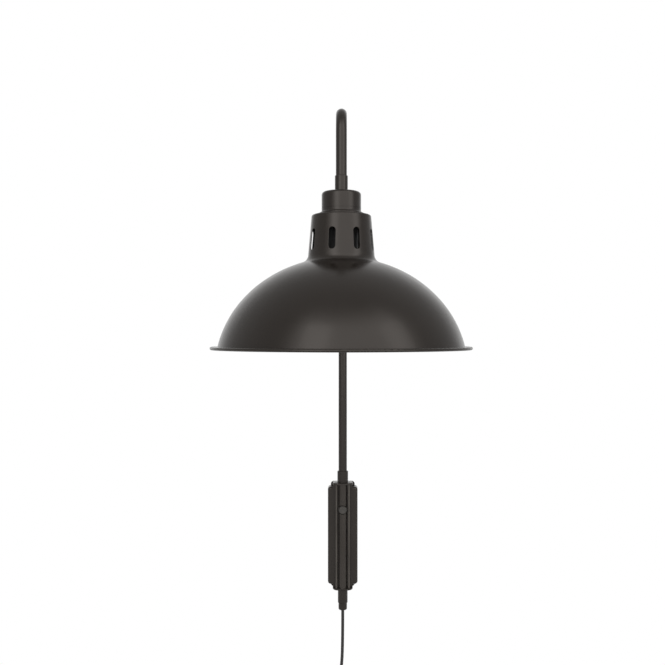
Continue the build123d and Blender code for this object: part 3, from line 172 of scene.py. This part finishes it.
def vary_color(made, texture, dark, light):
    """Base colour that wanders between two colours with the texture."""
    tree = made.node_tree
    ramp = tree.nodes.new("ShaderNodeValToRGB")
    ramp.color_ramp.elements[0].position = noise_low
    ramp.color_ramp.elements[1].position = noise_high
    ramp.color_ramp.elements[0].color = (*dark, 1)
    ramp.color_ramp.elements[1].color = (*light, 1)
    tree.links.new(texture.outputs["Fac"], ramp.inputs["Fac"])
    tree.links.new(ramp.outputs["Color"], shader_input(made, "Base Color"))


def vary_roughness(made, texture, low, high):
    """Roughness that wanders between two values with the texture."""
    tree = made.node_tree
    spread = tree.nodes.new("ShaderNodeMapRange")
    spread.inputs["From Min"].default_value = noise_low
    spread.inputs["From Max"].default_value = noise_high
    spread.inputs["To Min"].default_value = low
    spread.inputs["To Max"].default_value = high
    tree.links.new(texture.outputs["Fac"], spread.inputs["Value"])
    tree.links.new(spread.outputs["Result"], shader_input(made, "Roughness"))


def bump(made, texture, strength, distance):
    """Surface relief from the texture."""
    tree = made.node_tree
    relief = tree.nodes.new("ShaderNodeBump")
    relief.inputs["Strength"].default_value = strength
    relief.inputs["Distance"].default_value = distance
    tree.links.new(texture.outputs["Fac"], relief.inputs["Height"])
    tree.links.new(relief.outputs["Normal"], shader_input(made, "Normal"))


def smooth_step(tree, value, span, levels):
    """Value that goes smoothly from one level to another as the given one crosses a span."""
    ramp = tree.nodes.new("ShaderNodeMapRange")
    ramp.interpolation_type = "SMOOTHSTEP"
    ramp.inputs["From Min"].default_value = span[0]
    ramp.inputs["From Max"].default_value = span[1]
    ramp.inputs["To Min"].default_value = levels[0]
    ramp.inputs["To Max"].default_value = levels[1]
    tree.links.new(value, ramp.inputs["Value"])
    return ramp.outputs["Result"]


def arithmetic(tree, operation, first, second=0.0):
    """Math node on two values, each a socket or a number."""
    step = tree.nodes.new("ShaderNodeMath")
    step.operation = operation
    for socket, value in zip(step.inputs, (first, second)):
        if isinstance(value, float):
            socket.default_value = value
        else:
            tree.links.new(value, socket)
    return step.outputs["Value"]


# ---------------------------------------------------------------- materials
def bronze_paint(name):
    """Semi-gloss dark bronze paint with a faint orange-peel surface."""
    made = material(name, (0.012, 0.009, 0.007), metallic=0.0, roughness=0.24)
    shader_input(made, "Specular Tint").default_value = (1.0, 0.93, 0.87, 1)
    wander = noise(made, scale=9, detail=3)
    vary_color(made, wander, (0.0105, 0.0080, 0.0064), (0.0140, 0.0108, 0.0088))
    vary_roughness(made, noise(made, scale=35, detail=4), 0.22, 0.27)
    bump(made, noise(made, scale=900, detail=2), strength=0.05, distance=0.0002)
    return made


def ribs_painted_highlight():
    """The housing's paint with a painted highlight: paler along its two ribs and a little
    along its ridge, broken into patches.
    """
    rib_inner_edge = (8.1 * MM, 8.7 * MM)
    rib_outer_edge = (10.4 * MM, 11.0 * MM)
    ridge_edge = (4.5 * MM, 6.0 * MM)
    rib_fronts = (-25.4 * MM, -24.6 * MM)
    ridge_highlight = 0.25
    least_highlight = 0.45
    made = bronze_paint("bronze_paint_ribs")
    tree = made.node_tree
    base = shader_input(made, "Base Color")
    paint = base.links[0].from_socket
    place = tree.nodes.new("ShaderNodeTexCoord")
    split = tree.nodes.new("ShaderNodeSeparateXYZ")
    tree.links.new(place.outputs["Object"], split.inputs["Vector"])
    side = arithmetic(tree, "ABSOLUTE", split.outputs["X"])
    inner = smooth_step(tree, side, rib_inner_edge, (0.0, 1.0))
    outer = smooth_step(tree, side, rib_outer_edge, (1.0, 0.0))
    front = smooth_step(tree, split.outputs["Y"], rib_fronts, (1.0, 0.0))
    streaks = noise(made, scale=45, detail=4, stretch=(1, 1, 0.35)).outputs["Fac"]
    patches = smooth_step(tree, streaks, (0.3, 0.6), (least_highlight, 1.0))
    ribs = arithmetic(tree, "MULTIPLY", inner, outer)
    ridge = smooth_step(tree, side, ridge_edge, (ridge_highlight, 0.0))
    highlight = arithmetic(tree, "MULTIPLY", arithmetic(tree, "ADD", ribs, ridge), front)
    highlight = arithmetic(tree, "MULTIPLY", highlight, patches)
    blend = tree.nodes.new("ShaderNodeMixRGB")
    tree.links.new(highlight, blend.inputs["Fac"])
    tree.links.new(paint, blend.inputs["Color1"])
    # paler colour of the painted highlight on the rib and ridge fronts
    blend.inputs["Color2"].default_value = (0.072, 0.064, 0.056, 1)
    tree.links.new(blend.outputs["Color"], base)
    return made


def rubbed_bronze():
    """The same paint on the push button and its bezel, rubbed paler by fingers."""
    made = material("rubbed_bronze", (0.045, 0.040, 0.035), metallic=0.0, roughness=0.34)
    wander = noise(made, scale=140, detail=4)
    vary_color(made, wander, (0.036, 0.032, 0.028), (0.054, 0.048, 0.042))
    vary_roughness(made, noise(made, scale=260, detail=4), 0.28, 0.42)
    bump(made, noise(made, scale=900, detail=2), strength=0.05, distance=0.0002)
    return made


def brushed(name, dark, light, roughness):
    """Machined or rolled metal with fine scratches across it."""
    made = material(name, light, metallic=1.0, roughness=roughness)
    vary_color(made, noise(made, scale=60, detail=4), dark, light)
    grain = noise(made, scale=220, detail=4, stretch=(0.08, 0.08, 2.5))
    vary_roughness(made, grain, roughness * 0.75, roughness * 1.3)
    bump(made, grain, strength=0.05, distance=0.0001)
    return made


def moulded(name, dark, light, roughness, grain=700):
    """Moulded plastic or rubber with a fine grain."""
    made = material(name, light, metallic=0.0, roughness=roughness)
    vary_color(made, noise(made, scale=40, detail=3), dark, light)
    wander = noise(made, scale=90, detail=3)
    vary_roughness(made, wander, roughness * 0.9, roughness * 1.12)
    bump(made, noise(made, scale=grain, detail=3), strength=0.12, distance=0.0002)
    return made


def opal_glass():
    """White opal glass of the bulb, satin outside."""
    made = material("opal_glass", (0.86, 0.85, 0.81), metallic=0.0, roughness=0.22)
    shader_input(made, "Subsurface Weight").default_value = 0.35
    shader_input(made, "Subsurface Radius").default_value = (0.006, 0.006, 0.005)
    wander = noise(made, scale=25, detail=2)
    vary_color(made, wander, (0.82, 0.81, 0.77), (0.88, 0.87, 0.83))
    vary_roughness(made, noise(made, scale=60, detail=3), 0.18, 0.26)
    return made


# each with its darker colour, its lighter colour and its roughness
metals = {
    "dark_steel": ((0.03, 0.028, 0.026), (0.05, 0.046, 0.042), 0.4),
    "steel": ((0.42, 0.42, 0.43), (0.56, 0.56, 0.57), 0.32),
    "bush_brass": ((0.55, 0.38, 0.16), (0.70, 0.51, 0.25), 0.3),
    "nickel": ((0.62, 0.60, 0.56), (0.74, 0.72, 0.68), 0.18),
}
# the same, and the scale of the cord's coarser grain
mouldings = {
    "nylon": ((0.70, 0.69, 0.64), (0.78, 0.77, 0.72), 0.45),
    "black_plastic": ((0.014, 0.014, 0.014), (0.022, 0.021, 0.021), 0.42),
    "holder_plastic": ((0.012, 0.012, 0.012), (0.020, 0.019, 0.019), 0.6),
    "wire_cover": ((0.16, 0.07, 0.03), (0.22, 0.10, 0.045), 0.4),
    "cord_cover": ((0.013, 0.012, 0.011), (0.019, 0.017, 0.016), 0.42, 500),
    "seal_rubber": ((0.012, 0.012, 0.012), (0.018, 0.018, 0.018), 0.6),
    "plug_plastic": ((0.013, 0.012, 0.012), (0.020, 0.019, 0.018), 0.38),
}
looks = {
    "bronze_paint": bronze_paint("bronze_paint"),
    "rubbed_bronze": rubbed_bronze(),
    "opal_glass": opal_glass(),
}
for slot, finish in metals.items():
    looks[slot] = brushed(slot, *finish)
for slot, finish in mouldings.items():
    looks[slot] = moulded(slot, *finish)
for entry in frame["record"]["subparts"]:
    piece = nodes[entry["node"]]
    piece.data.materials.clear()
    piece.data.materials.append(looks[entry["material_slot"]])
# the housing's material carries a painted highlight along its ribs and ridge
nodes["housing"].data.materials[0] = ribs_painted_highlight()
cord_curve.materials.append(looks["cord_cover"])


# ---------------------------------------------------------------- floor, world and lights
def white_to_camera(tree, shaded, glow_kind, output):
    """White to the camera and through glass, the given shader to everything else."""
    path = tree.nodes.new("ShaderNodeLightPath")
    glow = tree.nodes.new(glow_kind)
    glow.inputs["Color"].default_value = (1, 1, 1, 1)
    glow.inputs["Strength"].default_value = 1.0
    through_glass = path.outputs["Is Transmission Ray"]
    seen = arithmetic(tree, "MAXIMUM", path.outputs["Is Camera Ray"], through_glass)
    choose = tree.nodes.new("ShaderNodeMixShader")
    tree.links.new(seen, choose.inputs["Fac"])
    tree.links.new(shaded.outputs[0], choose.inputs[1])
    tree.links.new(glow.outputs[0], choose.inputs[2])
    tree.links.new(choose.outputs[0], tree.nodes[output].inputs["Surface"])


floor_reach = 8.0
floor_level = -0.40
floor_corners = [(-1, -1), (1, -1), (1, 1), (-1, 1)]
floor_mesh = bpy.data.meshes.new("floor")
floor_mesh.from_pydata(
    [(x * floor_reach, y * floor_reach, floor_level) for x, y in floor_corners],
    [],
    [(0, 1, 2, 3)],
)
floor = bpy.data.objects.new("floor", floor_mesh)
scene.collection.objects.link(floor)
floor_look = material("floor", (0.8, 0.8, 0.8), metallic=0.0, roughness=0.9)
floor_tree = floor_look.node_tree
floor_shader = floor_tree.nodes["Principled BSDF"]
white_to_camera(floor_tree, floor_shader, "ShaderNodeEmission", "Material Output")
floor_mesh.materials.append(floor_look)

world = bpy.data.worlds.new("studio")
scene.world = world
world.use_nodes = True
world_tree = world.node_tree
world_shader = world_tree.nodes["Background"]
world_shader.inputs["Color"].default_value = (1, 1, 1, 1)
heading = world_tree.nodes.new("ShaderNodeTexCoord")
split = world_tree.nodes.new("ShaderNodeSeparateXYZ")
world_tree.links.new(heading.outputs["Generated"], split.inputs["Vector"])
depth = split.outputs["Y"]
height = split.outputs["Z"]

# the room is even, brighter towards the wall, with a bright field in front of the lamp
room_level = 0.47
wall_level = 1.15
front_level = 1.08
backdrop = smooth_step(world_tree, depth, (0.50, 1.08), (room_level, wall_level))
forward = arithmetic(world_tree, "MULTIPLY", depth, -1.0)
azimuth = arithmetic(world_tree, "ARCTAN2", split.outputs["X"], forward)
left_edge = (math.radians(-62), math.radians(-34))
right_edge = (math.radians(58), math.radians(84))
front_left = smooth_step(world_tree, azimuth, left_edge, (0.0, front_level))
front_right = smooth_step(world_tree, azimuth, right_edge, (1.0, 0.0))
front_foot = smooth_step(world_tree, height, (-0.30, 0.10), (0.35, 1.0))
front_head = smooth_step(world_tree, height, (0.72, 0.96), (1.0, 0.0))
front_sides = arithmetic(world_tree, "MULTIPLY", front_left, front_right)
front_ends = arithmetic(world_tree, "MULTIPLY", front_foot, front_head)
front = arithmetic(world_tree, "MULTIPLY", front_sides, front_ends)
strength = arithmetic(world_tree, "ADD", backdrop, front)
world_tree.links.new(strength, world_shader.inputs["Strength"])
white_to_camera(world_tree, world_shader, "ShaderNodeBackground", "World Output")


def softbox(name, place, aim, width, height, power):
    """Rectangular area light at a place, turned to an aim."""
    data = bpy.data.lights.new(name, "AREA")
    data.shape = "RECTANGLE"
    data.size = width
    data.size_y = height
    data.energy = power
    lamp = bpy.data.objects.new(name, data)
    lamp.location = place
    lamp.rotation_euler = (Vector(aim) - Vector(place)).to_track_quat("-Z", "Y").to_euler()
    scene.collection.objects.link(lamp)


left_place, left_aim = (-0.80, -2.07, 1.15), (0, -0.354, 0.45)
right_place, right_aim = (1.68, -1.44, 1.15), (0, -0.354, 0.42)
softbox("left_box", left_place, left_aim, width=0.80, height=1.9, power=3.7)
softbox("right_box", right_place, right_aim, width=0.85, height=1.9, power=2.6)

scene.view_settings.view_transform = "Standard"

bpy.context.view_layer.update()
